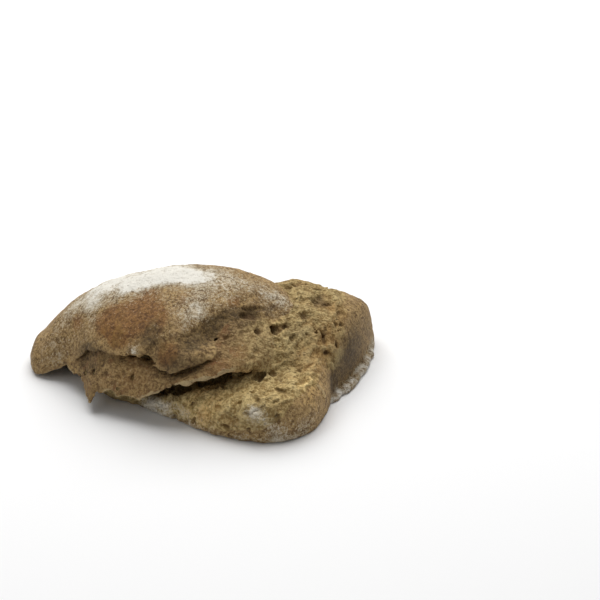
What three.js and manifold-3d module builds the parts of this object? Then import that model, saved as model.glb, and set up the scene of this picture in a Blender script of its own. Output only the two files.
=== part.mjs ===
// A torn, hand-shaped bread roll lying on its base, in millimetres.
// X runs along the roll, Y from the torn front to the crust at the back, and Z up from the base.
import * as THREE from "three";
import { mergeVertices } from "three/addons/utils/BufferGeometryUtils.js";
import Module from "manifold-3d";

// How finely the rounded forms are drawn.
const RING_POINTS = 36;
const STEPS_PER_STATION = 2;
const SHEET_STEPS = 4;
const BALL_STEPS = [24, 16];

// The base is flat, and each form is widest a little above it, where the dough curled under.
const BELLY_HEIGHT = 5;
const UNDERCUT_DEPTH = 6;
const LOW_FORM_HEIGHT = 20;
const DOUGH_UNEVENNESS = 0.012;

// Rounded forms: [x, centre y, reach to the front, reach to the back, height] along the roll.
const CAP_SQUARENESS = 2.15;
const CAP_BELLY_HEIGHT = 2;
const CAP = [
  [-82.4, 22, 1, 2, 4],
  [-80.5, 22, 8, 11.5, 9.5],
  [-75, 22, 14, 16.5, 16.3],
  [-68.5, 22.5, 17, 20, 24],
  [-61, 23, 21, 24, 31],
  [-52, 22, 32, 29, 37],
  [-44, 20, 40, 32, 42],
  [-25, 18, 50, 35, 49],
  [-4, 16, 56, 36, 53.2],
  [8, 16, 43, 36, 52],
  [22, 16, 33, 34, 48.3],
  [37, 16, 26, 26, 41.4],
  [42, 14, 19, 19, 38],
  [45.5, 13, 10, 10, 32.5],
  [47, 12, 1, 1, 22],
];

const SHOULDER_SQUARENESS = 2.2;
const SHOULDER = [
  [-10, 22, 30, 28, 26],
  [15, 22, 42, 32, 32],
  [30, 23, 46, 34, 36.2],
  [46, 25, 43, 33, 37.8],
  [59, 27, 39, 30, 33.8],
  [67, 29, 30, 25, 31.6],
  [72.5, 32, 22.5, 21, 29],
  [77, 36, 14.5, 15, 25],
  [80.5, 40, 7, 9.5, 17.5],
  [82.6, 42, 1, 1, 5],
];

const FOOT_SQUARENESS = 3.4;
const FOOT = [
  [-31, -4, 4, 2, 2],
  [-28, -2, 12, 6, 4.5],
  [-17, 0, 24, 12, 11],
  [-7, 0, 31, 20, 15.5],
  [2, 0, 38, 20, 18],
  [11, 0, 43.5, 20, 20],
  [20, 0, 46.8, 20, 21.5],
  [33, 0, 49, 24, 22.5],
  [47, 0, 44, 24, 23.5],
  [55.6, 0, 33, 24, 21.5],
  [59.5, 0, 21, 20, 17],
  [62.3, -1, 5, 8, 7],
];

// The crumb inside: [centre], [reach along X, Y and Z].
const HEART = [[2, 10, 8], [56, 32, 27]];
const BROW = [[32, -1, 12], [27, 25, 20]];

// The lower edge of the crust cap on the torn side: [x, height of the edge, how far back it is open].
const CAP_EDGE = [
  [-90, 0.3, 24],
  [-77, 1.2, 24],
  [-74.5, 2.2, 23],
  [-69, 5.2, 21],
  [-62.5, 9, 17],
  [-59, 12, 12],
  [-55, 17, 8],
  [-50.5, 23, 6],
  [-44.5, 26.6, 4],
  [-37, 27.8, 0],
  [-30, 28.7, -3],
  [-24.5, 29.1, -4],
  [-19, 28.3, -5],
  [-13, 27.3, -6],
  [-10.5, 26.6, -6],
  [-6.5, 27.9, -2],
  [0, 29.4, 2],
  [5.5, 30.4, 5],
  [9, 31, 7],
  [13, 32.5, 9],
  [22, 34, 12],
  [35, 35, 15],
  [52, 34, 16],
];

// How far the room under the cap reaches to the front and below the table.
const OPEN_TO_FRONT = -90;
const OPEN_BELOW = -30;

// The soft bulge over the cap's lower edge, at the front: its middle and its spread along X and Z.
const CHIN_MIDDLE = [-2.5, 33];
const CHIN_SPREAD = [14, 7];
const CHIN_DEPTH = 3;

// The torn skin that hangs from under the cap:
// [x, root y, root z, root thickness, edge y, edge z, edge thickness].
const SKIN_BULGE = 1.5;
const TORN_SKIN = [
  [-64, 11, 12, 3, 5, 10.5, 1.2],
  [-60, 9, 13, 3, 0.5, 9.8, 1.2],
  [-57, 6, 15.5, 3, -3, 9.7, 1.2],
  [-53, 2.5, 18.5, 3, -9, 8.8, 1.2],
  [-51, 0, 20, 3, -16, 6.6, 1.2],
  [-49.5, -2, 21, 3, -20.4, 5.8, 1.2],
  [-48, -4, 22.2, 3, -22, 7.2, 1.4],
  [-45, -8, 24.5, 3, -22, 9.8, 1.5],
  [-41.5, -10.5, 25.5, 3, -22.5, 12.3, 1.6],
  [-38.8, -12, 26, 3, -23, 14.4, 1.7],
  [-37.6, -12.5, 26.1, 3, -24, 13.6, 1.7],
  [-37, -13, 26.2, 3, -25, 12.8, 1.7],
  [-35.5, -13.5, 26.3, 3, -26, 11.4, 1.8],
  [-32, -15.5, 26, 3, -27, 11.6, 2],
  [-28, -17.5, 25, 3, -28, 12.8, 2],
  [-26.5, -18.5, 24.8, 3.5, -29, 12.4, 2],
  [-19, -20.5, 24.3, 4, -32, 17, 2.2],
  [-12, -26, 23, 4.5, -33.5, 20.4, 2.4],
  [-6.5, -27, 24, 5, -34.5, 23.6, 2.6],
  [2.5, -22, 25.5, 6, -34.5, 25, 3],
  [9, -13, 30.5, 9, -34, 25.8, 3.5],
  [13, -8, 33, 10, -32.5, 27.6, 4],
  [18, -3, 34, 11, -30.5, 28.2, 4.5],
  [23, 0, 34, 11, -27.5, 28.4, 6],
  [26.5, 2, 33, 11, -24, 28, 7],
  [31, 4, 31, 11, -19, 26.5, 8],
  [37, 6, 27, 11, -12, 23, 8],
];

// The pocket under the torn skin, between it and the foot: [x, y, z, radius].
const POCKET_POINTS = 16;
const POCKET = [
  [-24, -17, 8.5, 1.5],
  [-16, -19, 11.5, 4],
  [-8, -21, 14, 5.5],
  [4, -21, 16, 6.3],
  [12, -19, 18, 5.5],
  [18, -16, 20.5, 4.2],
  [24, -14, 23, 2],
];

// Hollows torn in the crumb: [centre], [reach along X, Y and Z], turn about Z in degrees.
const HOLLOWS = [
  [[34.5, -5, 32.8], [5, 3.6, 2.8], -25],
  [[41.6, -1.2, 33.4], [3.6, 1.8, 1.2], 12],
  [[28, 0.2, 41.2], [8, 1.8, 1.1], 14],
  [[26.5, -3.4, 39.8], [8, 2.4, 1.9], 14],
];

// The block that is cut away below the base: [along X, along Y, thickness].
const TABLE = [300, 300, 60];

// The floured rim of the base that stands out under the right end: [x, y].
const SKIRT_HEIGHT = 3.6;
const SKIRT_ROUNDING = 1.7;
const SKIRT_ROUNDING_STEPS = 3;
const SKIRT_UNDER_BREAD = [
  [72, 42],
  [59.4, 20],
];
const SKIRT = [
  [59.4, -13.5],
  [62.2, -10.8],
  [65, -6.6],
  [67.8, -3.9],
  [69.8, 0.6],
  [71.8, 3.4],
  [73.8, 8],
  [75.4, 12.5],
  [77.2, 17.3],
  [78.6, 22],
  [79.7, 27.7],
  [80.6, 36],
  [80.4, 42],
];

const wasm = await Module();
wasm.setup();

/** A closed mesh with its shared corners merged, as a solid that can be joined and cut. */
function solid(geometry) {
  const bare = geometry.clone();
  bare.deleteAttribute("normal");
  bare.deleteAttribute("uv");
  const welded = mergeVertices(bare, 1e-3);
  return new wasm.Manifold(
    new wasm.Mesh({
      numProp: 3,
      vertProperties: new Float32Array(welded.attributes.position.array),
      triVerts: new Uint32Array(welded.index.array),
    }),
  );
}

/** A closed body through rings of points that follow each other along X, each anticlockwise from +X. */
function skinned(rings) {
  const count = rings[0].length;
  const middles = [rings[0], rings.at(-1)].map((ring) =>
    ring.reduce((sum, point) => sum.add(point), new THREE.Vector3()).divideScalar(count),
  );
  const corners = [...rings.flat(), ...middles];
  const first = corners.length - 2;
  const faces = [];
  for (let j = 0; j < count; j += 1) {
    const next = (j + 1) % count;
    for (let i = 0; i + 1 < rings.length; i += 1) {
      const near = i * count;
      const far = near + count;
      faces.push(near + j, near + next, far + next);
      faces.push(near + j, far + next, far + j);
    }
    const last = (rings.length - 1) * count;
    faces.push(first, next, j);
    faces.push(first + 1, last + j, last + next);
  }
  return new THREE.BufferGeometry().setFromPoints(corners).setIndex(faces);
}

/** How far the bulge stands forward of the cap at this place. */
function chinAt(x, z) {
  const along = (x - CHIN_MIDDLE[0]) / CHIN_SPREAD[0];
  const up = (z - CHIN_MIDDLE[1]) / CHIN_SPREAD[1];
  return CHIN_DEPTH * Math.exp(-along * along - up * up);
}

/** One section of a rounded form: a squarish oval, flatter below its widest level. */
function ovalRing([x, centre, front, back, height], squareness, bellyHeight, bulgeAt) {
  const belly = Math.min(bellyHeight, height / 4);
  const below = belly + UNDERCUT_DEPTH * Math.min(1, height / LOW_FORM_HEIGHT);
  return Array.from({ length: RING_POINTS }, (_, i) => {
    const angle = (2 * Math.PI * i) / RING_POINTS;
    const across = Math.cos(angle);
    const up = Math.sin(angle);
    const uneven = 1 - DOUGH_UNEVENNESS * Math.sin(angle + x / 6) ** 2;
    const outward = Math.sign(across) * Math.abs(across) ** (2 / squareness) * uneven;
    const upward = Math.sign(up) * Math.abs(up) ** (2 / squareness);
    const y = centre + outward * (across < 0 ? front : back);
    const z = belly + upward * (up < 0 ? below : height - belly);
    return new THREE.Vector3(x, across < 0 ? y - bulgeAt(x, z) : y, z);
  });
}

/** A rounded form: smooth curves along the roll through the same point of every section. */
function roundedForm(stations, squareness, bellyHeight = BELLY_HEIGHT, bulgeAt = () => 0) {
  const sections = stations.map((station) => ovalRing(station, squareness, bellyHeight, bulgeAt));
  const steps = STEPS_PER_STATION * (stations.length - 1);
  const lines = sections[0].map((_, j) =>
    new THREE.CatmullRomCurve3(sections.map((section) => section[j])).getPoints(steps),
  );
  return skinned(lines[0].map((_, i) => lines.map((line) => line[i])));
}

/** One section of the torn skin, from its root down to its edge, bowed outwards. */
function skinRing([x, rootY, rootZ, rootThickness, edgeY, edgeZ, edgeThickness]) {
  const fall = new THREE.Vector2(edgeY - rootY, edgeZ - rootZ);
  const outward = new THREE.Vector2(fall.y, -fall.x).normalize();
  const side = (sign) =>
    Array.from({ length: SHEET_STEPS + 1 }, (_, i) => {
      const t = i / SHEET_STEPS;
      const half = THREE.MathUtils.lerp(rootThickness, edgeThickness, t) / 2;
      const off = SKIN_BULGE * 4 * t * (1 - t) + sign * half;
      const y = rootY + t * fall.x + off * outward.x;
      const z = rootZ + t * fall.y + off * outward.y;
      return new THREE.Vector3(x, y, z);
    });
  return [...side(-1).reverse(), ...side(1)];
}

/** The room under the cap's edge, open to the front and below. */
function capUnderside() {
  return skinned(
    CAP_EDGE.map(([x, edge, depth]) => [
      new THREE.Vector3(x, OPEN_TO_FRONT, OPEN_BELOW),
      new THREE.Vector3(x, depth, OPEN_BELOW),
      new THREE.Vector3(x, depth, edge),
      new THREE.Vector3(x, OPEN_TO_FRONT, edge),
    ]),
  );
}

/** One section of the pocket: a circle that faces along X. */
function pocketRing([x, y, z, radius]) {
  return Array.from({ length: POCKET_POINTS }, (_, i) => {
    const angle = (2 * Math.PI * i) / POCKET_POINTS;
    return new THREE.Vector3(x, y + radius * Math.cos(angle), z + radius * Math.sin(angle));
  });
}

/** The rim of the base: a low slab with a wavy, rounded edge, rooted under the shoulder. */
function skirt() {
  const outline = new THREE.Shape();
  outline.moveTo(...SKIRT[0]);
  outline.splineThru(SKIRT.slice(1).map((place) => new THREE.Vector2(...place)));
  for (const place of SKIRT_UNDER_BREAD) outline.lineTo(...place);
  outline.closePath();
  return new THREE.ExtrudeGeometry(outline, {
    depth: SKIRT_HEIGHT,
    curveSegments: SKIRT.length,
    bevelSize: SKIRT_ROUNDING,
    bevelThickness: SKIRT_ROUNDING,
    bevelSegments: SKIRT_ROUNDING_STEPS,
  }).translate(0, 0, -SKIRT_ROUNDING);
}

/** A ball stretched to the given reaches, turned about Z and set in its place. */
function ellipsoid([centre, reach, turn = 0]) {
  return new THREE.SphereGeometry(1, ...BALL_STEPS)
    .scale(...reach)
    .rotateZ(THREE.MathUtils.degToRad(turn))
    .translate(...centre);
}

/** The roll as one solid, standing flat on z = 0. */
function breadRoll() {
  const cap = solid(roundedForm(CAP, CAP_SQUARENESS, CAP_BELLY_HEIGHT, chinAt));
  const crust = cap.subtract(solid(capUnderside()));
  let roll = solid(ellipsoid(HEART))
    .add(solid(ellipsoid(BROW)))
    .add(solid(roundedForm(SHOULDER, SHOULDER_SQUARENESS)))
    .add(solid(roundedForm(FOOT, FOOT_SQUARENESS)))
    .add(solid(skirt()))
    .subtract(solid(skinned(POCKET.map(pocketRing))))
    .add(crust)
    .add(solid(skinned(TORN_SKIN.map(skinRing))));
  for (const hollow of HOLLOWS) roll = roll.subtract(solid(ellipsoid(hollow)));
  const table = new THREE.BoxGeometry(...TABLE).translate(0, 0, -TABLE[2] / 2);
  return roll.subtract(solid(table));
}

/** The solid's surface as a geometry, centred over its base. */
function centred(body) {
  const { vertProperties, triVerts, numProp } = body.getMesh();
  const places = new THREE.InterleavedBuffer(vertProperties, numProp);
  const geometry = new THREE.BufferGeometry()
    .setAttribute("position", new THREE.InterleavedBufferAttribute(places, 3, 0))
    .setIndex(new THREE.BufferAttribute(triVerts, 1));
  geometry.computeBoundingBox();
  const middle = geometry.boundingBox.getCenter(new THREE.Vector3());
  geometry.translate(-middle.x, -middle.y, 0);
  geometry.computeVertexNormals();
  return geometry;
}

const crustAndCrumb = new THREE.MeshStandardMaterial({ color: 0x9a7242, roughness: 0.85, metalness: 0 });
const roll = new THREE.Mesh(centred(breadRoll()), crustAndCrumb);
roll.name = "bread_roll";

const group = new THREE.Group();
group.add(roll);

export default group;
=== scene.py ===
"""A torn bread roll: floured crust over open crumb, on a pale table. The sculpt is in millimetres."""
import math

import bpy
import numpy as np
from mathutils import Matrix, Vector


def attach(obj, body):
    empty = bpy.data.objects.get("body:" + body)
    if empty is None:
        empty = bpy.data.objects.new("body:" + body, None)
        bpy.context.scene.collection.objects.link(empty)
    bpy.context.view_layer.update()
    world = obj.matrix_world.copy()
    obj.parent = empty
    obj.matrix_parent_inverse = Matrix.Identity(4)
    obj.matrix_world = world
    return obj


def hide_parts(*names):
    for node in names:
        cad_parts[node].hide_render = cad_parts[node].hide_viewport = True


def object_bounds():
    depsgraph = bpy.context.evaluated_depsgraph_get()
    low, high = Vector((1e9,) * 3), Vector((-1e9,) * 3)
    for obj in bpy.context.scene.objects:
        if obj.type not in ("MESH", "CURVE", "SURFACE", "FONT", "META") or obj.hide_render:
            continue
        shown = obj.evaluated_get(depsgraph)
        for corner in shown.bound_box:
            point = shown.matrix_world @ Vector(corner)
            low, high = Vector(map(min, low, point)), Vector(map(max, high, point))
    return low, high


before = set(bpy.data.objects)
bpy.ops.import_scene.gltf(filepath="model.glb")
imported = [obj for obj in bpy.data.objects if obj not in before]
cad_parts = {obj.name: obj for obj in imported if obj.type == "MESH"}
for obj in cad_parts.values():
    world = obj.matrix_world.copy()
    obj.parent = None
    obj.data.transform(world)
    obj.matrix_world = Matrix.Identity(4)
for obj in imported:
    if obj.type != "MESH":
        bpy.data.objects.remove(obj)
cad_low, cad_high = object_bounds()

import openvdb
from mathutils import Vector

MM = 0.001
NODE = "bread_roll"

# The block of space that the roll is sculpted in, before it is centred over its base.
GRAIN = 0.6
LOW = np.array([-87.0, -56.0, -5.0])
HIGH = np.array([87.0, 64.0, 60.0])
CELLS = np.ceil((HIGH - LOW) / GRAIN).astype(int) + 1
XS, YS, ZS = [(LOW[a] + GRAIN * np.arange(CELLS[a])).astype(np.float32) for a in range(3)]
X, Y, Z = XS[:, None, None], YS[None, :, None], ZS[None, None, :]
FAR = 1e3
TINY = 1e-6

# ------------------------------------------------------------------ sizes of the roll

BELLY_HEIGHT = 5.0
UNDERCUT_DEPTH = 6.0
LOW_FORM_HEIGHT = 20
CRUST_THICKNESS = 1.3

# Rounded forms: x, centre y, reach to the front, reach to the back, height.
CAP_SQUARENESS = 2.15
CAP_BELLY_HEIGHT = 2
CAP = [
    (-82.4, 22, 1, 2, 4),
    (-80.5, 22, 8, 11.5, 9.5),
    (-75, 22, 14, 16.5, 16.3),
    (-68.5, 22.5, 17, 20, 24),
    (-61, 23, 21, 24, 31),
    (-52, 22, 32, 29, 37),
    (-44, 20, 40, 32, 42),
    (-25, 18, 50, 35, 49),
    (-4, 16, 56, 36, 53.2),
    (8, 16, 43, 36, 52),
    (22, 16, 33, 34, 48.3),
    (37, 16, 26, 26, 41.4),
    (42, 14, 19, 19, 38),
    (45.5, 13, 10, 10, 32.5),
    (47, 12, 1, 1, 22),
]

SHOULDER_SQUARENESS = 2.2
SHOULDER = [
    (-10, 22, 30, 28, 26),
    (15, 22, 42, 32, 32),
    (30, 23, 46, 34, 36.2),
    (46, 25, 43, 33, 37.8),
    (59, 27, 39, 30, 33.8),
    (67, 29, 30, 25, 31.6),
    (72.5, 32, 22.5, 21, 29),
    (77, 36, 14.5, 15, 25),
    (80.5, 40, 7, 9.5, 17.5),
    (82.6, 42, 1, 1, 5),
]

FOOT_SQUARENESS = 3.4
FOOT = [
    (-31, -4, 4, 2, 2),
    (-28, -2, 12, 6, 4.5),
    (-17, 0, 24, 12, 11),
    (-7, 0, 31, 20, 15.5),
    (2, 0, 38, 20, 18),
    (11, 0, 43.5, 20, 20),
    (20, 0, 46.8, 20, 21.5),
    (33, 0, 49, 24, 22.5),
    (47, 0, 44, 24, 23.5),
    (55.6, 0, 33, 24, 21.5),
    (59.5, 0, 21, 20, 17),
    (62.3, -1, 5, 8, 7),
]

# The crumb inside: centre, reach along X, Y and Z.
HEART = ((2, 10, 8), (56, 32, 27))
BROW = ((32, -1, 12), (27, 25, 20))

# The cap's lower edge on the torn side: x, height of the edge, how far back it is open.
CAP_EDGE = [
    (-90, 0.3, 24),
    (-77, 1.2, 24),
    (-74.5, 2.2, 23),
    (-69, 5.2, 21),
    (-62.5, 9, 17),
    (-59, 12, 12),
    (-55, 17, 8),
    (-50.5, 23, 6),
    (-44.5, 26.6, 4),
    (-37, 27.8, 0),
    (-30, 28.7, -3),
    (-24.5, 29.1, -4),
    (-19, 28.3, -5),
    (-13, 27.3, -6),
    (-10.5, 26.6, -6),
    (-6.5, 27.9, -2),
    (0, 29.4, 2),
    (5.5, 30.4, 5),
    (9, 31, 7),
    (13, 32.5, 9),
    (22, 34, 12),
    (35, 35, 15),
    (52, 34, 16),
]

# The bulge at the front of the cap's lower edge: centre, reach along X, Y and Z.
CHIN = ((-2.5, -22, 31.5), (13, 11, 6.5))

# Where the smooth crust stops on the cap's torn side, and bare toasted crumb begins: x, height.
# The bare face fades out over a stretch of Y at the back and of X at the left.
CRUST_LINE_BACK = (12, 8)
CRUST_LINE_LEFT = (-42, -34)
CRUST_LINE = [
    (-40, 27),
    (-30, 29),
    (-24, 32),
    (-18, 36),
    (-12, 39),
    (-5, 40.5),
    (3, 41.5),
    (12, 42),
    (22, 42),
    (30, 40),
    (38, 37),
    (48, 35),
]

# The cracks between the cap and the torn skin: x, y at the front, height, half the gap.
CRACK_DEPTH = 9.0
CRACK_RISE = 0.15
LEFT_CRACK = [
    (-31, -19, 29, 0.3),
    (-29, -20, 28.7, 0.8),
    (-26.8, -21, 28.2, 1.2),
    (-24.6, -22, 28, 1.3),
    (-23, -23, 29.2, 1.3),
    (-20, -25, 29.1, 1),
    (-17, -26, 28.8, 0.2),
]
RIGHT_CRACK = [
    (-20.5, -26, 28, 0.2),
    (-19, -26, 27.7, 0.6),
    (-15.6, -27.5, 27.3, 0.8),
    (-13, -28.5, 27, 1),
    (-10.9, -30, 26.4, 1.3),
    (-9.4, -31.5, 26.2, 1.5),
    (-5, -33, 26.8, 1.6),
    (-1.2, -33, 27.8, 1.3),
    (2, -32, 28.9, 1),
    (5.8, -30, 30.2, 0.7),
    (8, -28, 30.6, 0.2),
]

# The dark pocket under the torn skin, between it and the foot: x, y, z, radius.
POCKET = [
    (-24, -17, 8.5, 1.5),
    (-16, -19, 11.5, 4),
    (-8, -21, 14, 5.5),
    (4, -21, 16, 6.3),
    (12, -19, 18, 5.5),
    (18, -16, 20.5, 4.2),
    (24, -14, 23, 2),
]

# The concave band carved under the crust's lip, which painted shade darkens: x, y, z, radius.
DULL_BAND = [
    (-12, -31, 40, 3),
    (-3, -29, 41, 5),
    (6, -25, 42, 5.5),
    (15, -18, 43, 5.5),
    (23, -12, 43, 5.2),
    (31, -8, 41.5, 4),
    (36, -6, 39.5, 2),
]

# The torn skin under the cap: x, root y, root z, root thickness, edge y, edge z, edge thickness.
SKIN_BULGE = 1.5
TORN_SKIN = [
    (-64, 11, 12, 3, 5, 10.5, 1.2),
    (-60, 9, 13, 3, 0.5, 9.8, 1.2),
    (-57, 6, 15.5, 3, -3, 9.7, 1.2),
    (-53, 2.5, 18.5, 3, -9, 8.8, 1.2),
    (-51, 0, 20, 3, -16, 6.6, 1.2),
    (-49.5, -2, 21, 3, -20.4, 5.8, 1.2),
    (-48, -4, 22.2, 3, -22, 7.2, 1.4),
    (-45, -8, 24.5, 3, -22, 9.8, 1.5),
    (-41.5, -10.5, 25.5, 3, -22.5, 12.3, 1.6),
    (-38.8, -12, 26, 3, -23, 14.4, 1.7),
    (-37.6, -12.5, 26.1, 3, -24, 13.6, 1.7),
    (-37, -13, 26.2, 3, -25, 12.8, 1.7),
    (-35.5, -13.5, 26.3, 3, -26, 11.4, 1.8),
    (-32, -15.5, 26, 3, -27, 11.6, 2),
    (-28, -17.5, 25, 3, -28, 12.8, 2),
    (-26.5, -18.5, 24.8, 3.5, -29, 12.4, 2),
    (-19, -20.5, 24.3, 4, -32, 17, 2.2),
    (-12, -26, 23, 4.5, -33.5, 20.4, 1.9),
    (-6.5, -27, 24, 5, -34.5, 23.6, 1.9),
    (2.5, -22, 25.5, 6, -34.5, 25, 2),
    (9, -13, 30.5, 9, -34, 25.8, 2.2),
    (13, -8, 33, 10, -32.5, 27.6, 2.6),
    (18, -3, 34, 11, -30.5, 28.2, 3.4),
    (23, 0, 34, 11, -27.5, 28.4, 6),
    (26.5, 2, 33, 11, -24, 28, 7),
    (31, 4, 31, 11, -19, 26.5, 8),
    (37, 6, 27, 11, -12, 23, 8),
]

# Height above which the open crumb begins over the foot's rounded crust: x, height.
FOOT_RIM = [
    (-30, 2),
    (-8, 3),
    (5, 4),
    (20, 6),
    (30, 8.5),
    (38, 14),
    (44, 19.5),
    (50, 21),
    (57, 20),
    (60, 16),
    (64, 13),
    (72, 22),
    (84, 26),
]
CRUMB_RIGHT_LIMIT = 67.0
CRUMB_BACK_LIMIT = 43.0

# Hollows torn in the crumb: centre, reach along X, Y and Z, turn, tilt.
HOLLOWS = [
    ((34.5, -5.2, 33.2), (4.8, 3.2, 2.4), -25, 10),
    ((41.6, -1.2, 33.4), (3.6, 1.8, 1.2), 12, 10),
    ((28.0, 0.2, 41.2), (8.0, 1.8, 1.1), 14, -6),
    ((26.5, -3.4, 39.8), (8.0, 2.4, 1.9), 14, -6),
    ((5.5, -18.9, 32.8), (2.2, 1.6, 1.2), 20, 10),
    ((14.7, -17.0, 36.0), (2.8, 1.6, 1.2), 25, 15),
    ((27.9, -11.0, 35.5), (2.4, 1.8, 1.4), 20, 10),
    ((9.0, -16.5, 34.0), (1.6, 1.2, 1.2), 20, 10),
    ((-47.6, -14.8, 17.2), (1.5, 1.3, 2.0), 0, 0),
    ((-41.4, -20, 18.8), (1.8, 1.4, 1.7), 0, 0),
    ((-32.4, -23, 21.5), (1.1, 1.1, 1.7), 0, 0),
    ((-28.0, -24.3, 20.0), (1.4, 1.4, 2.4), 10, 0),
    ((-34.6, -25.0, 14.2), (1.1, 1.2, 1.1), 0, 0),
    ((-54.6, 1.8, 15.4), (2.0, 1.6, 1.5), 0, 0),
    ((-33.4, -17.5, 27.4), (2.0, 2.2, 1.2), 0, 0),
    ((43.8, 20.3, 38.6), (2.4, 1.5, 1.3), 10, 0),
    ((52.6, 19.8, 36.0), (2.8, 1.6, 1.3), 15, -10),
    ((50.0, 10.5, 36.2), (5.0, 1.3, 1.1), 5, -5),
    ((46.6, 6.5, 35.8), (1.5, 1.4, 1.6), 0, 0),
    ((53.9, -1.4, 29.9), (1.8, 1.4, 1.3), 0, 0),
    ((33.0, -25.0, 21.5), (3.6, 1.6, 1.3), 15, 0),
    ((22.0, -22.0, 21.5), (4.0, 1.6, 1.4), 35, 5),
]

# The floured rim of the base that stands out under the shoulder: x, y.
SKIRT = [
    (59.4, -13.5),
    (62.2, -10.8),
    (65, -6.6),
    (67.8, -3.9),
    (69.8, 0.6),
    (71.8, 3.4),
    (73.8, 8),
    (75.4, 12.5),
    (77.2, 17.3),
    (78.6, 22),
    (79.7, 27.7),
    (80.6, 36),
    (80.4, 42),
]
SKIRT_REACH = 1.7
SKIRT_HEIGHT = 3.6

# The thin crust edge that stands proud round the foot's right end: x, y, z, radius.
FOOT_CREST = [
    (49, -26, 22.0, 0.2),
    (51.5, -29, 21.0, 0.6),
    (54, -30, 19.2, 0.6),
    (56.4, -29, 16, 0.6),
    (57.8, -27.4, 12, 0.5),
    (58.2, -26.4, 9, 0.1),
]

# The way the dough was pulled apart, and two ways across it.
TEAR = np.array((0.7, 0.6, 0.35)) / np.linalg.norm((0.7, 0.6, 0.35))
ACROSS = np.cross(TEAR, (0, 0, 1)) / np.linalg.norm(np.cross(TEAR, (0, 0, 1)))
TEAR_FRAME = np.column_stack((TEAR, ACROSS, np.cross(TEAR, ACROSS)))

# Uneven dough, as layers of height, millimetres between lumps, and seed.
DOUGH_LUMPS = [(0.75, 17, 1), (0.35, 8, 2)]
CRUMB_HEAPS = [(0.35, 7, 23), (0.25, 3.6, 24)]
CRUST_GRAIN = [(0.32, 4.2, 25), (0.22, 1.8, 26)]
SKIN_GRAIN = [(0.6, 4.6, 27), (0.32, 1.9, 28)]

# Walls between torn bubbles: height, length and width of the bubbles, and seed.
CRUMB_WALLS = [(0.8, 13, 5.5, 20), (0.48, 6, 2.8, 21), (0.3, 3, 1.5, 22)]

# How far the bubbles are pushed out of line, over how many millimetres, and the seed for each axis.
BUBBLE_BEND = 1.6
BUBBLE_BEND_PERIOD = 5.5
BUBBLE_BEND_SEEDS = (31, 32, 33)

# Deep voids in the crumb: how deep, how far apart, how rare, and their seed.
VOID_DEPTH = 3.2
VOID_PERIOD = 3.4
VOID_RARITY = 0.38
VOID_SEED = 29

# How far from the smooth surface the fine relief is worked out.
RELIEF_REACH = 3.4

# The small pores in the crumb, none of them closer to the table than PORE_LOWEST.
PORE_COUNT = 120
PORE_SEED = 11
PORE_LOWEST = 3
PORE_CRUMB = 0.62
PORE_SMALLEST = 0.45
PORE_LARGEST = 1.6
PORE_LOG_RADIUS = (-0.35, 0.4)
PORE_TURN = (25, 30)
PORE_TILT = (18, 20)
PORE_SINK = 0.1

# How much of the dough's unevenness, and of its finer wobble, a part or an outline takes.
CHIN_UNEVENNESS = 0.6
FOOT_UNEVENNESS = 0.7
SKIN_UNEVENNESS = 0.25
SKIN_WOBBLE = 0.12
CRUST_LINE_WOBBLE = 1.5
CAP_EDGE_WOBBLE = 0.5
SKIRT_WOBBLE = 0.7
SKIRT_TOP_WOBBLE = 0.6
RIM_WOBBLE = 1.2
RIGHT_LIMIT_WOBBLE = 4
BACK_LIMIT_WOBBLE = 2
WOBBLE_PERIOD = 5
RAGGED_PERIOD = 2.3

# How wide a crease is filled, or an edge rounded, where parts meet.
CHIN_BLEND = 5
BROW_BLEND = 5
SHOULDER_BLEND = 4
FOOT_BLEND = 2
SKIRT_BLEND = 0.6
CREST_BLEND = 1.2
CAP_BLEND = 1
UNDERSIDE_ROUNDING = 3
LIP_ROUNDING = 0.9
BAND_ROUNDING = 2
POCKET_ROUNDING = 2
SKIRT_ROUNDING = 2
CRACK_ROUNDING = 0.4
TABLE_ROUNDING = 1.2
PORE_ROUNDING = 0.35
HOLLOW_ROUNDING = 1.2

# How open the crumb is, from 0 for crust to 1, on the cap's bare face and on the torn skin.
BARE_FACE_CRUMB = 0.36
SKIN_CRUMB = 0.45
SKIN_CRUMB_RIGHT = 0.15


# ------------------------------------------------------------------ tools for sculpting

def smooth_min(a, b, width):
    """The nearer of two surfaces, with the crease between them filled over that width."""
    near = np.maximum(width - np.abs(a - b), 0) / width
    return np.minimum(a, b) - near * near * width * 0.25


def smooth_max(a, b, width):
    """The farther of two surfaces, with the edge between them rounded over that width."""
    return -smooth_min(-a, -b, width)


def ease(low, high, value):
    """0 below low, 1 above high, and smooth between them."""
    t = np.clip((value - low) / (high - low), 0, 1)
    return t * t * (3 - 2 * t)


def curve_along(stations, column):
    """A smooth curve through one column of the stations, for every slice of the block along X."""
    xs = np.array([row[0] for row in stations], float)
    values = np.array([row[column] for row in stations], float)
    slopes = np.gradient(values, xs)
    at = np.clip(XS, xs[0], xs[-1])
    i = np.clip(np.searchsorted(xs, at) - 1, 0, len(xs) - 2)
    span = xs[i + 1] - xs[i]
    t = (at - xs[i]) / span
    start = (2 * t**3 - 3 * t**2 + 1) * values[i] + (t**3 - 2 * t**2 + t) * span * slopes[i]
    end = (3 * t**2 - 2 * t**3) * values[i + 1] + (t**3 - t**2) * span * slopes[i + 1]
    return (start + end).astype(np.float32)[:, None, None]


def line_along(stations, column):
    """Straight lines through one column of the stations."""
    xs = [row[0] for row in stations]
    values = [row[column] for row in stations]
    return np.interp(XS, xs, values).astype(np.float32)[:, None, None]


def past_ends(stations):
    """Distance past the first or the last station."""
    return np.maximum(stations[0][0] - X, X - stations[-1][0])


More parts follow.
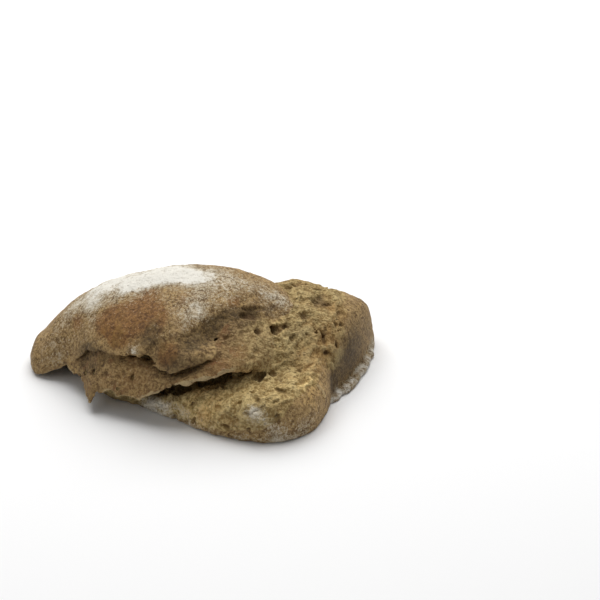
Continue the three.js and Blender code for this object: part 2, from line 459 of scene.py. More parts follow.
def rounded_form(stations, squareness, belly_height=BELLY_HEIGHT):
    """Distance to a rounded form whose sections are squarish ovals, tucked in under their widest level."""
    centre, front, back, height = [curve_along(stations, column) for column in (1, 2, 3, 4)]
    height = np.maximum(height, 1)
    belly = np.minimum(belly_height, height / 4)
    under = belly + UNDERCUT_DEPTH * np.minimum(1, height / LOW_FORM_HEIGHT)
    reach = np.where(Y < centre, np.maximum(front, 0.5), np.maximum(back, 0.5))
    rise = np.where(Z > belly, height - belly, under)
    across = np.abs(Y - centre) / reach
    up = np.abs(Z - belly) / rise
    size = (across**squareness + up**squareness) ** (1 / squareness)
    slope = np.sqrt((across ** (squareness - 1) / reach) ** 2 + (up ** (squareness - 1) / rise) ** 2)
    slope = slope / np.maximum(size, 1e-3) ** (squareness - 1) + TINY
    return np.maximum((size - 1) / slope, past_ends(stations)).astype(np.float32)


def sheet(stations, bulge, ragged):
    """Distance to a sheet that falls from its root to its ragged edge, and distance past that edge."""
    root_y, root_z, root_thick = [line_along(stations, column) for column in (1, 2, 3)]
    edge_y, edge_z, edge_thick = [line_along(stations, column) for column in (4, 5, 6)]
    fall_y, fall_z = edge_y - root_y, edge_z - root_z
    length = np.sqrt(fall_y**2 + fall_z**2)
    fallen = (Y - root_y) * fall_y + (Z - root_z) * fall_z
    t = np.clip(fallen / length**2, 0, 1 + ragged / length)
    bow = bulge * 4 * t * (1 - t)
    off_y = Y - root_y - t * fall_y - bow * fall_z / length
    off_z = Z - root_z - t * fall_z + bow * fall_y / length
    thick = root_thick + (edge_thick - root_thick) * t
    distance = np.maximum(np.sqrt(off_y**2 + off_z**2) - thick / 2, past_ends(stations))
    return distance.astype(np.float32), fallen / length - length - ragged


def slit(stations):
    """Distance to a thin gap that runs back into the dough, a little upwards."""
    front, level, half = [line_along(stations, column) for column in (1, 2, 3)]
    off = np.abs(Z - level - CRACK_RISE * (Y - front)) - half
    return np.maximum(np.maximum(off, Y - front - CRACK_DEPTH), past_ends(stations)).astype(np.float32)


def tube(stations):
    """Distance to a bent round bar that swells and thins."""
    nearest = np.full(tuple(CELLS), FAR, np.float32)
    for (x0, y0, z0, r0), (x1, y1, z1, r1) in zip(stations, stations[1:]):
        dx, dy, dz = x1 - x0, y1 - y0, z1 - z0
        along = (X - x0) * dx + (Y - y0) * dy + (Z - z0) * dz
        t = np.clip(along / (dx * dx + dy * dy + dz * dz), 0, 1)
        off = np.sqrt((X - x0 - t * dx) ** 2 + (Y - y0 - t * dy) ** 2 + (Z - z0 - t * dz) ** 2)
        nearest = np.minimum(nearest, off - r0 - t * (r1 - r0))
    return nearest


def oval(centre, reach, turn=0.0, tilt=0.0, block=(slice(None),) * 3):
    """Distance to an ellipsoid turned about Z and then tilted nose up, in degrees."""
    x = X[block[0]] - centre[0]
    y = Y[:, block[1]] - centre[1]
    z = Z[:, :, block[2]] - centre[2]
    c, s = math.cos(math.radians(turn)), math.sin(math.radians(turn))
    x, y = x * c + y * s, y * c - x * s
    c, s = math.cos(math.radians(tilt)), math.sin(math.radians(tilt))
    x, z = x * c + z * s, z * c - x * s
    x, y, z = x / reach[0], y / reach[1], z / reach[2]
    size = np.sqrt(x * x + y * y + z * z)
    slope = np.sqrt((x / reach[0]) ** 2 + (y / reach[1]) ** 2 + (z / reach[2]) ** 2) + TINY
    return (size * (size - 1) / slope).astype(np.float32)


# Brings the smoothed lumps back to about -1 to 1, and how many random knots repeat along each axis.
LUMP_HEIGHT = 2.6
KNOTS = 48


def lumps(period, seed):
    """Smooth random lumps through the block, about -1 to 1, with that many millimetres between them."""
    rng = np.random.default_rng(seed)
    periods = np.broadcast_to(np.array(period, float), (3,))
    weights, sizes = [], []
    for axis in range(3):
        steps = GRAIN * np.arange(CELLS[axis]) / periods[axis]
        first = np.floor(steps).astype(int)
        t = steps - first
        rows = np.arange(CELLS[axis])
        table = np.zeros((CELLS[axis], int(steps[-1]) + 5), np.float32)
        table[rows, first] = (1 - t) ** 3 / 6
        table[rows, first + 1] = (3 * t**3 - 6 * t**2 + 4) / 6
        table[rows, first + 2] = (-3 * t**3 + 3 * t**2 + 3 * t + 1) / 6
        table[rows, first + 3] = t**3 / 6
        weights.append(table)
        sizes.append(table.shape[1])
    knots = rng.uniform(-1, 1, sizes).astype(np.float32)
    field = np.tensordot(weights[0], knots, (1, 0))
    field = np.tensordot(field, weights[1], (1, 1)).transpose(0, 2, 1)
    return field @ weights[2].T * LUMP_HEIGHT


def grain_at(places, period, seed):
    """Smooth random values from -1 to 1 at the given places, with that many millimetres between lumps."""
    steps = places / np.array(period, float)
    first = np.floor(steps).astype(int)
    t = steps - first
    t = t * t * (3 - 2 * t)
    knots = np.random.default_rng(seed).uniform(-1, 1, (KNOTS,) * 3)
    value = np.zeros(len(places))
    for corner in np.ndindex(2, 2, 2):
        share = np.prod(np.where(np.array(corner) == 1, t, 1 - t), axis=1)
        i = (first + corner) % KNOTS
        value += share * knots[i[:, 0], i[:, 1], i[:, 2]]
    return value


def layered(places, layers):
    """Random relief at the given places, summed over its layers."""
    return sum(height * grain_at(places, period, seed) for height, period, seed in layers)


def strands(places, length, width, seed):
    """Thin walls round torn bubbles, drawn out along the tear: 1 on a wall, about -1 in a bubble."""
    along = places @ TEAR_FRAME
    return 1 - 2.4 * np.abs(grain_at(along, (length, width, width), seed))


def distance_to_path(path):
    """Distance in plan to a run of straight lines, for every column of the block."""
    x, y = XS[:, None], YS[None, :]
    nearest = np.full((len(XS), len(YS)), FAR, np.float32)
    for (x0, y0), (x1, y1) in zip(path, path[1:]):
        dx, dy = x1 - x0, y1 - y0
        t = np.clip(((x - x0) * dx + (y - y0) * dy) / (dx * dx + dy * dy), 0, 1)
        nearest = np.minimum(nearest, np.hypot(x - x0 - t * dx, y - y0 - t * dy))
    return nearest[:, :, None]


def carve(field, centre, reach, turn, tilt, softness):
    """Takes one oval hole out of the field, touching only the cells round it."""
    most = max(reach) + softness + 2 * GRAIN
    block = []
    for axis in range(3):
        first = int(np.floor((centre[axis] - most - LOW[axis]) / GRAIN))
        last = int(np.ceil((centre[axis] + most - LOW[axis]) / GRAIN)) + 1
        block.append(slice(max(first, 0), max(min(last, CELLS[axis]), 0)))
    block = tuple(block)
    if min(s.stop - s.start for s in block) > 0:
        hole = oval(centre, reach, turn, tilt, block)
        field[block] = smooth_max(field[block], -hole, softness)

# ------------------------------------------------------------------ the roll's form

def cap_form(uneven, wobble):
    """The crust cap, its rounded outside, where its crust is torn off, and the height of its lower edge."""
    chin = oval(*CHIN) + CHIN_UNEVENNESS * uneven
    whole = rounded_form(CAP, CAP_SQUARENESS, CAP_BELLY_HEIGHT) + uneven
    outside = smooth_min(whole, chin, CHIN_BLEND)
    bare = ease(-1.2, 1.2, line_along(CRUST_LINE, 1) + CRUST_LINE_WOBBLE * wobble - Z)
    bare = bare * ease(*CRUST_LINE_BACK, Y) * ease(*CRUST_LINE_LEFT, X)
    edge = line_along(CAP_EDGE, 1) + CAP_EDGE_WOBBLE * wobble
    opening = smooth_max(Z - edge, Y - line_along(CAP_EDGE, 2), UNDERSIDE_ROUNDING)
    cap = smooth_max(outside + CRUST_THICKNESS * 0.8 * bare, -opening, LIP_ROUNDING)
    return smooth_max(cap, -tube(DULL_BAND), BAND_ROUNDING), outside, bare, edge


def skirt_form(wobble):
    """The low rim of the base, inside its wavy outline and below its rounded top."""
    xs, ys = np.array(SKIRT).T
    inside = Y > np.interp(XS, xs, ys)[:, None, None]
    inside = inside & (X < xs[-1]) & (Y < ys[-1])
    out = distance_to_path(SKIRT)
    out = np.where(inside, -out, out) - SKIRT_REACH + SKIRT_WOBBLE * wobble
    skirt = smooth_max(out, Z - SKIRT_HEIGHT - SKIRT_TOP_WOBBLE * wobble, SKIRT_ROUNDING)
    return np.maximum(skirt, xs[0] - X)


def body_form(uneven, wobble):
    """Crumb, shoulder and foot in one, and the distance to the thin edge that stands proud on the foot."""
    shoulder = rounded_form(SHOULDER, SHOULDER_SQUARENESS) + uneven
    foot = rounded_form(FOOT, FOOT_SQUARENESS) + FOOT_UNEVENNESS * uneven
    brow = oval(*BROW) + uneven
    body = smooth_min(oval(*HEART), brow, BROW_BLEND)
    body = smooth_min(body, shoulder, SHOULDER_BLEND)
    body = smooth_min(body, foot, FOOT_BLEND)
    body = smooth_min(body, skirt_form(wobble), SKIRT_BLEND)
    crest = tube(FOOT_CREST)
    body = smooth_min(body, crest, CREST_BLEND)
    return smooth_max(body, -tube(POCKET), POCKET_ROUNDING), crest


def body_crumb(wobble):
    """Where the body's crumb is open: above the foot's rim, short of the crust at the right and back."""
    above = ease(-4, 2.5, Z - (line_along(FOOT_RIM, 1) + RIM_WOBBLE * wobble))
    leftwards = ease(6, -6, X - CRUMB_RIGHT_LIMIT - RIGHT_LIMIT_WOBBLE * wobble)
    forwards = ease(3, -3, Y - CRUMB_BACK_LIMIT - BACK_LIMIT_WOBBLE * wobble)
    return above * leftwards * forwards


def thin_edges_and_highlights(is_cap, is_skin, outside, edge, past_edge, crest):
    """Where a pale edge shows, partly painted highlight: on the torn skin, under the cap's left end, on the
    foot's crest.
    """
    under_cap = ease(1.2, 0.3, np.abs(Z - edge)) * ease(-56, -62, X)
    under_cap = under_cap * ease(-2.5, -0.5, outside) * ease(20, 15, Y)
    along_skin = ease(0.1, 0.8, past_edge) * ease(24, 12, X)
    thin = np.where(is_cap, under_cap, np.where(is_skin, along_skin, 0))
    return np.maximum(thin, 0.8 * ease(0.8, 0.1, crest))


def shaped_dough():
    """The roll's smooth surface, with masks for open crumb, torn skin and pale thin edges, partly painted
    highlight.
    """
    uneven = sum(height * lumps(period, seed) for height, period, seed in DOUGH_LUMPS)
    wobble = lumps(WOBBLE_PERIOD, 3)
    cap, outside, bare, edge = cap_form(uneven, wobble)
    body, crest = body_form(uneven, wobble)
    skin, past_edge = sheet(TORN_SKIN, SKIN_BULGE, lumps(RAGGED_PERIOD, 4))
    skin = skin + SKIN_UNEVENNESS * uneven + SKIN_WOBBLE * wobble
    is_skin = (skin < cap) & (skin < body)
    is_cap = (cap < body) & (cap < skin)

    inside_cap = ease(-0.6 * CRUST_THICKNESS, -1.5 * CRUST_THICKNESS, outside) * ease(3, 13, X)
    crumb = np.where(cap < body, np.maximum(inside_cap, BARE_FACE_CRUMB * bare), body_crumb(wobble))
    masks = {
        "crumb": np.where(is_skin, SKIN_CRUMB + SKIN_CRUMB_RIGHT * ease(-5, 15, X), crumb),
        "skin": np.where(is_skin, 0.3 + 0.7 * ease(28, 8, X), 0),
        "edge": thin_edges_and_highlights(is_cap, is_skin, outside, edge, past_edge, crest),
    }
    skin_blend = 0.8 + 6 * ease(2, 10, X) + 1.6 * ease(-30, -36, X) * ease(-52, -46, X)
    field = smooth_min(smooth_min(body, cap, CAP_BLEND), skin, skin_blend)
    for crack in (LEFT_CRACK, RIGHT_CRACK):
        field = smooth_max(field, -slit(crack), CRACK_ROUNDING)
    return field.astype(np.float32), {name: mask.astype(np.float32) for name, mask in masks.items()}


def roughened(field, masks):
    """The smooth surface with the fine relief of torn crumb, skin and crust."""
    field = field.copy()
    near = np.abs(field) < RELIEF_REACH
    places = LOW + GRAIN * np.argwhere(near)
    crumb, skin = masks["crumb"][near], masks["skin"][near]
    bend = np.column_stack([grain_at(places, BUBBLE_BEND_PERIOD, seed) for seed in BUBBLE_BEND_SEEDS])
    bent = places + BUBBLE_BEND * bend
    walls = sum(height * strands(bent, length, width, seed) for height, length, width, seed in CRUMB_WALLS)
    voids = VOID_DEPTH * np.maximum(grain_at(bent, VOID_PERIOD, VOID_SEED) - VOID_RARITY, 0)
    torn_relief = walls + layered(places, CRUMB_HEAPS) - voids
    open_crumb = crumb * (1 - 0.55 * skin)
    crust_relief = (1 - crumb) * layered(places, CRUST_GRAIN)
    field[near] -= open_crumb * torn_relief + skin * layered(places, SKIN_GRAIN) + crust_relief
    return field


def hollowed(field):
    """The larger hollows taken out of the dough."""
    field = field.copy()
    for centre, reach, turn, tilt in HOLLOWS:
        carve(field, centre, reach, turn, tilt, min(HOLLOW_ROUNDING, 0.6 * min(reach)))
    return field


def pitted(field, crumb):
    """The crumb's pores taken out of the dough."""
    field = field.copy()
    rng = np.random.default_rng(PORE_SEED)
    surface = np.argwhere((np.abs(field) < 0.5 * GRAIN) & (crumb > PORE_CRUMB))
    surface = surface[surface[:, 2] * GRAIN + LOW[2] > PORE_LOWEST]
    chosen = surface[rng.integers(0, len(surface), PORE_COUNT)]
    for cell in chosen:
        radius = float(np.clip(rng.lognormal(*PORE_LOG_RADIUS), PORE_SMALLEST, PORE_LARGEST))
        reach = [radius * rng.uniform(least, most) for least, most in ((1.1, 2.0), (0.8, 1.2), (0.6, 0.9))]
        sink = np.array((0, PORE_SINK, -PORE_SINK)) * radius
        centre = LOW + GRAIN * (cell + rng.uniform(-0.5, 0.5, 3)) + sink
        carve(field, centre, reach, rng.normal(*PORE_TURN), rng.normal(*PORE_TILT), PORE_ROUNDING)
    return field


def sampled(grid, cells):
    """The grid's value at places given in cells, between the cells' corners."""
    first = np.clip(np.floor(cells).astype(int), 0, np.array(grid.shape) - 2)
    t = cells - first
    value = np.zeros(len(cells), np.float32)
    for corner in np.ndindex(2, 2, 2):
        share = np.prod(np.where(np.array(corner) == 1, t, 1 - t), axis=1)
        value += share * grid[tuple((first + corner).T)]
    return value


def largest_body(count, quads, triangles):
    """Which vertices belong to the largest connected body, leaving out loose crumbs and sealed bubbles."""
    edges = [np.stack((f, np.roll(f, 1, axis=1)), axis=2).reshape(-1, 2) for f in (quads, triangles)]
    first, second = np.vstack(edges).T
    label = np.arange(count)
    while True:
        lowest = label.copy()
        shared = np.minimum(label[first], label[second])
        np.minimum.at(lowest, first, shared)
        np.minimum.at(lowest, second, shared)
        lowest = lowest[lowest]
        if np.array_equal(lowest, label):
            return label == np.bincount(label).argmax()
        label = lowest


def meshed(field):
    """The field's surface: its vertices in cells, its quads and its triangles."""
    volume = openvdb.FloatGrid(background=3 * GRAIN)
    volume.copyFromArray(np.ascontiguousarray(np.clip(field, -3 * GRAIN, 3 * GRAIN)))
    cells, triangles, quads = volume.convertToPolygons(isovalue=0.0, adaptivity=0.0)
    quads, triangles = quads.astype(np.int64), triangles.astype(np.int64)
    kept = largest_body(len(cells), quads, triangles)
    number = np.cumsum(kept) - 1
    quads, triangles = [number[part[kept[part[:, 0]]]] for part in (quads, triangles)]
    return cells[kept], quads, triangles


def roll_mesh():
    """The roll as a mesh that fills the CAD model's box, with its masks at every vertex, and its shift."""
    dough, masks = shaped_dough()
    table = -Z + 0 * dough
    dough = smooth_max(dough, table, TABLE_ROUNDING)
    field = np.maximum(pitted(roughened(hollowed(dough), masks), masks["crumb"]), table)
    cells, quads, triangles = meshed(field)
    places = cells * GRAIN + LOW
    low, high = places.min(0), places.max(0)
    target_low, target_high = np.array(cad_low) / MM, np.array(cad_high) / MM
    fit = (target_high - target_low) / (high - low)
    shift = target_low - low * fit
    mesh = bpy.data.meshes.new("roll_surface")
    faces = [*map(tuple, quads.tolist()), *map(tuple, triangles.tolist())]
    mesh.from_pydata(((places * fit + shift) * MM).tolist(), [], faces)
    mesh.validate()
    mesh.polygons.foreach_set("use_smooth", [True] * len(mesh.polygons))
    painted = {name: sampled(mask, cells) for name, mask in masks.items()}
    # The relief also sets painted highlight on the crumb's ridges and painted shade in its hollows.
    painted["relief"] = sampled(dough, cells)
    painted.update(painted_masks(places))
    for name, values in painted.items():
        layer = mesh.attributes.new(name, "FLOAT", "POINT")
        layer.data.foreach_set("value", np.ascontiguousarray(values, np.float32))
    return mesh, shift


# ------------------------------------------------------------------ where the finishes lie

# Each touch: x, y, z, how far it spreads, how strong it is at its middle.
FLOUR = [
    (-31, 12, 47, 7, 0.45), (-26, 14, 49, 9, 0.5), (-17, 15, 51, 9, 0.75), (-8, 12, 53, 8, 0.8),
    (-1, 10, 53, 7, 0.5), (-39, 16, 44, 11, 0.24), (-46, 16, 41, 11, 0.22), (-54, 20, 36, 10, 0.3),
    (-36, 5, 44, 8, 0.22), (-62, 21, 30, 9, 0.3), (-48, 9, 38, 6, 0.24), (-52, 12, 36, 6, 0.1),
    (0, -8, 47, 6, 0.2), (13, -1, 47, 5, 0.12), (8, 15, 52, 9, 0.38), (17, 12, 50, 9, 0.28),
    (24, 11, 47, 9, 0.22), (33, 12, 43, 8, 0.38), (0, -2, 51, 6, 0.15), (40, 10, 40, 7, 0.42),
    (-10, 30, 50, 16, 0.45), (-40, 28, 40, 12, 0.4), (-46, 26, 40, 9, 0.25), (-33, 25, 47, 9, 0.3),
    (5, 2, 51, 9, 0.2), (12, 4, 49, 9, 0.15), (-12, -9, 48, 6, 0.16), (-5, -13, 47, 7, 0.25),
    (0, -15, 45, 6, 0.2), (2, -9, 48, 8, 0.2), (-7, -19, 44, 6, 0.1), (-13, -20, 41, 5, 0.06),
    (-7, -23, 41, 5, 0.1), (-28, -21, 32, 3, 0.7), (-72, 12, 14, 10, 0.16), (-60, 5, 20, 12, 0.12),
    (-65, 6, 12, 8, 0.2), (-49, -3, 30, 8, 0.1), (-68, 17, 24, 10, 0.1), (25, -46, 15.5, 4.5, 0.7),
    (30, -47, 13, 5, 0.5), (35, -48, 9, 5, 0.4), (48, -43, 5, 5, 0.4), (38, -48, 2, 7, 0.45),
    (53, -36, 7, 6, 0.2), (-23, -20, 4, 7, 0.7), (-15, -26, 5, 7, 0.7), (-8, -31, 7, 6, 0.4),
    (-2, -35, 3, 6, 0.4), (8, -42, 2, 6, 0.3), (20, -47, 3, 6, 0.4), (-20, 38, 42, 16, 0.5),
    (5, 42, 38, 14, 0.4), (-45, 38, 28, 14, 0.35), (-25, 50, 22, 14, 0.25), (5, 54, 20, 12, 0.25),
    (30, 50, 28, 11, 0.35), (60, 50, 22, 9, 0.3), (60, -14, 2, 3, 0.8), (64, -9, 2, 3.5, 0.8),
    (68, -4, 2, 3.5, 0.8), (71, 2, 2, 3.5, 0.8), (74, 9, 2, 3.5, 0.8), (76.5, 15, 2, 3.5, 0.8),
    (79, 22, 2, 4, 0.8), (81, 30, 2, 4, 0.8), (81, 38, 2, 4, 0.6),
]
TOAST = [
    (-39, -5, 38, 9, 1.0), (-32, -5, 42, 8, 0.8), (-23, -9, 44, 8, 1.0), (-18, -14, 43, 8, 1.0),
    (-34, -13, 35, 9, 0.8), (50, -38, 12, 9, 0.25), (-57, 9, 30, 6, 0.8), (-22, 5, 48, 6, 0.7),
    (-6, -5, 50, 5, 0.5), (17, -1, 44, 6, 0.7), (-9, -28, 36, 6, 0.7), (-13, -29, 33, 5, 0.9),
    (51, -18, 22, 7, 0.6), (60, -1, 26, 8, 0.6), (65, 21, 32, 8, 0.6), (2, -34, 24, 5, 0.4),
    (-12, 46, 30, 20, 0.7), (-26, 50, 16, 14, 0.5), (-52, 40, 20, 16, 0.7), (28, 52, 20, 22, 0.45),
    (62, 50, 10, 16, 0.5), (56, -7, 24, 6, 0.6),
]
# Greyed touches: partly the dough's own greyed tone, mostly painted shade under the crust's lip, in the
# crumb's hollows, on the torn skin under the cap, under the left end and on the shoulder's side.
DULL_AND_SHADE = [
    (-2, -25, 37, 6, 0.5), (3, -21, 38, 6, 0.4), (-48, -7, 20, 8, 0.5), (5, -16, 37, 6, 0.2),
    (12, -10, 38, 7, 0.6), (20, -6, 39, 6, 1.0), (26, 0, 39, 6, 0.6), (32, 5, 39, 5, 0.5),
    (75, 20, 12, 22, 0.4), (66, -4, 12, 9, 0.6), (61, -11, 8, 7, 0.6), (47, -3, 32, 7, 0.5),
    (40, -9, 30, 6, 0.3), (70, 5, 13, 12, 0.6), (-20, -19, 38.5, 8, 0.85), (-35, -16, 33, 6, 0.3),
    (-2, -24, 39, 8, 0.3), (9, -14, 39, 7, 0.6), (16, -6, 40, 5, 0.8), (-50, -7, 19, 8, 1.0),
    (-8, -30, 34, 6, 0.35), (-65, 6, 12, 9, 0.28), (-11, -14, 45, 5, 0.25), (-40, -12, 21, 8, 0.8),
]
# Painted light: touches that lighten the colour on the foot, the crumb and the cap's top, where light
# falls.
PAINTED_LIGHT = [
    (2, -36, 12, 12, 1.0), (20, -34, 19, 9, 0.8), (-14, -27, 5, 8, 0.6), (51, -32, 20, 7, 0.5),
    (35, -2, 33, 4, 0.8), (1, -8, 48, 7, 0.2), (13, -2, 47, 6, 0.35), (14, 6, 48, 8, 0.3),
    (2, -34, 9, 8, 0.4), (50, -32, 21, 5, 0.5), (50, -37, 14, 10, 0.45), (57, -27, 13, 8, 0.4),
    (35, -36, 20, 9, 0.4), (-32, -24, 20, 10, 0.3), (13, -22, 35, 6, 0.2),
]
# Painted shade: the pocket under the torn skin, the undersides of the cap's bulge and of its left end, and
# a painted shadow on the shoulder's side.
PAINTED_SHADE = [
    (-8, -20, 13, 6, 1.0), (4, -19, 15, 5.5, 1.0), (12, -17, 18, 4.5, 0.9), (-16, -18, 11, 5.5, 0.9),
    (19, -15, 21, 3.5, 0.6), (-9, -32, 30, 6, 0.7), (0, -31, 30, 5, 0.5), (-16, -27, 30, 5, 0.4),
    (70, 5, 13, 10, 0.35), (60, -13, 8, 5, 0.7), (76, 18, 10, 10, 0.25), (-70, 21, 3, 8, 1.0),
    (-60, 17, 5, 8, 1.0),
]


def touched(places, touches):
    """How strongly each place is covered by the touches, from 0 to 1."""
    cover = np.zeros(len(places))
    for x, y, z, spread, strength in touches:
        away = np.sum((places - (x, y, z)) ** 2, axis=1) / spread**2
        cover += strength * np.exp(-away)
    return np.clip(cover, 0, 1)


def painted_masks(places):
    """Masks that depend only on the place, among them painted shade and painted light. Some flour from the
    table clings to the lowest crust.
    """
    near_table = ease(4, 1, places[:, 2])
    return {
        "flour": np.clip(touched(places, FLOUR) + 0.15 * near_table, 0, 1),
        "toast": touched(places, TOAST),
        "dull_and_shade": touched(places, DULL_AND_SHADE),
        "dark": touched(places, PAINTED_SHADE),
        "bright": touched(places, PAINTED_LIGHT),
    }


# ------------------------------------------------------------------ finishes

def shade(red, green, blue):
    """A colour as a paint chart gives it, 0 to 255, in the linear values a shader takes."""
    scaled = [c / 255 for c in (red, green, blue)]
    return tuple(c / 12.92 if c <= 0.04045 else ((c + 0.055) / 1.055) ** 2.4 for c in scaled)


class Value:
    """A number that varies over a finish. Arithmetic on it adds Math nodes."""

    def __init__(self, finish, socket):
        self.finish = finish
        self.socket = socket

    def math(self, operation, *terms):
        made = self.finish.node("ShaderNodeMath", {"operation": operation}, dict(enumerate(terms)))
        return Value(self.finish, made.outputs[0])

    def __add__(self, other):
        return self.math("ADD", self, other)

    def __sub__(self, other):
        return self.math("SUBTRACT", self, other)

    def __rsub__(self, other):
        return self.math("SUBTRACT", other, self)

    def __mul__(self, other):
        return self.math("MULTIPLY", self, other)

    __radd__ = __add__
    __rmul__ = __mul__

    def clamped(self):
        """No less than 0 and no more than 1."""
        return self.math("MAXIMUM", self.math("MINIMUM", self, 1.0), 0.0)

    def eased(self, low, high):
        """0 at low, 1 at high, smooth between them."""
        sockets = {"Value": self, "From Min": low, "From Max": high}
        made = self.finish.node("ShaderNodeMapRange", {"interpolation_type": "SMOOTHSTEP"}, sockets)
        return Value(self.finish, made.outputs[0])


class Finish:
    """A material being made, one node at a time."""

    def __init__(self, name):
        self.material = bpy.data.materials.new(name)
        self.material.use_nodes = True
        self.tree = self.material.node_tree
        self.shader = self.tree.nodes["Principled BSDF"]
        self.place = self.node("ShaderNodeTexCoord").outputs["Object"]

    def node(self, kind, settings=None, sockets=None):
        """A new node with its settings made first, then its sockets fed with numbers, colours or links."""
        made = self.tree.nodes.new(kind)
        for name, setting in (settings or {}).items():
            setattr(made, name, setting)
        for name, given in (sockets or {}).items():
            self.feed(made.inputs[name], given)
        return made

    def feed(self, socket, given):
        """Links the socket to a value or another socket, or sets it to a number or a colour."""
        given = given.socket if isinstance(given, Value) else given
        if isinstance(given, bpy.types.NodeSocket):
            self.tree.links.new(given, socket)
        elif socket.type == "RGBA" and len(given) == 3:
            socket.default_value = (*given, 1.0)
        else:
            socket.default_value = given

    def mask(self, name):
        """One of the masks that the mesh holds at its vertices."""
        return Value(self, self.node("ShaderNodeAttribute", {"attribute_name": name}).outputs["Fac"])

    def grain(self, period, detail, roughness=0.5):
        """Cloudy noise from 0 to 1 with that many millimetres between its lumps."""
        sockets = {"Vector": self.place, "Scale": 1 / (period * MM)}
        sockets.update({"Detail": detail, "Roughness": roughness})
        return Value(self, self.node("ShaderNodeTexNoise", None, sockets).outputs[0])

    def cells(self, period):
        """Distance to the nearest of scattered points, with that many millimetres between them."""
        sockets = {"Vector": self.place, "Scale": 1 / (period * MM)}
        return Value(self, self.node("ShaderNodeTexVoronoi", None, sockets).outputs["Distance"])

    def blend(self, share, under, over):
        """The colour under, covered by the colour over as far as share says."""
        sockets = {0: share, 6: under, 7: over}
        return self.node("ShaderNodeMix", {"data_type": "RGBA"}, sockets).outputs[2]


# Colours of the bread: pairs are the dark and the light grains of one crust or crumb.
BROWN_CRUST = shade(94, 70, 40), shade(180, 149, 98)
PALE_CRUST = shade(176, 146, 100)
TOASTED_CRUST = shade(96, 64, 32), shade(152, 111, 62)
GOLDEN_TOAST = shade(160, 122, 62)
DULL_AND_SHADED_CRUST = shade(64, 49, 28), shade(112, 90, 54)
OLIVE_CRUMB = shade(134, 110, 66), shade(190, 166, 114)
GOLDEN_CRUMB = shade(128, 98, 54), shade(182, 148, 94)
# The crumb's ridge colour is a painted highlight; its hollow colour is painted shade.
CRUMB_RIDGE_HIGHLIGHT = shade(204, 182, 130)
CRUMB_HOLLOW_SHADE = shade(84, 60, 32)
SKIN_BROWN = shade(92, 68, 38), shade(150, 122, 80)
SKIN_TAN = shade(134, 98, 56)
SKIN_RUST = shade(126, 82, 46)
# Painted shade for the torn skin's hollows.
SKIN_HOLLOW_SHADE = shade(62, 44, 26)
FLOUR_WHITE = shade(196, 184, 160), shade(232, 229, 219)
PALE_EDGE_AND_HIGHLIGHT = shade(188, 168, 128)
DEEP_SHADE = shade(44, 32, 20)
BUMP_HEIGHT = 0.6


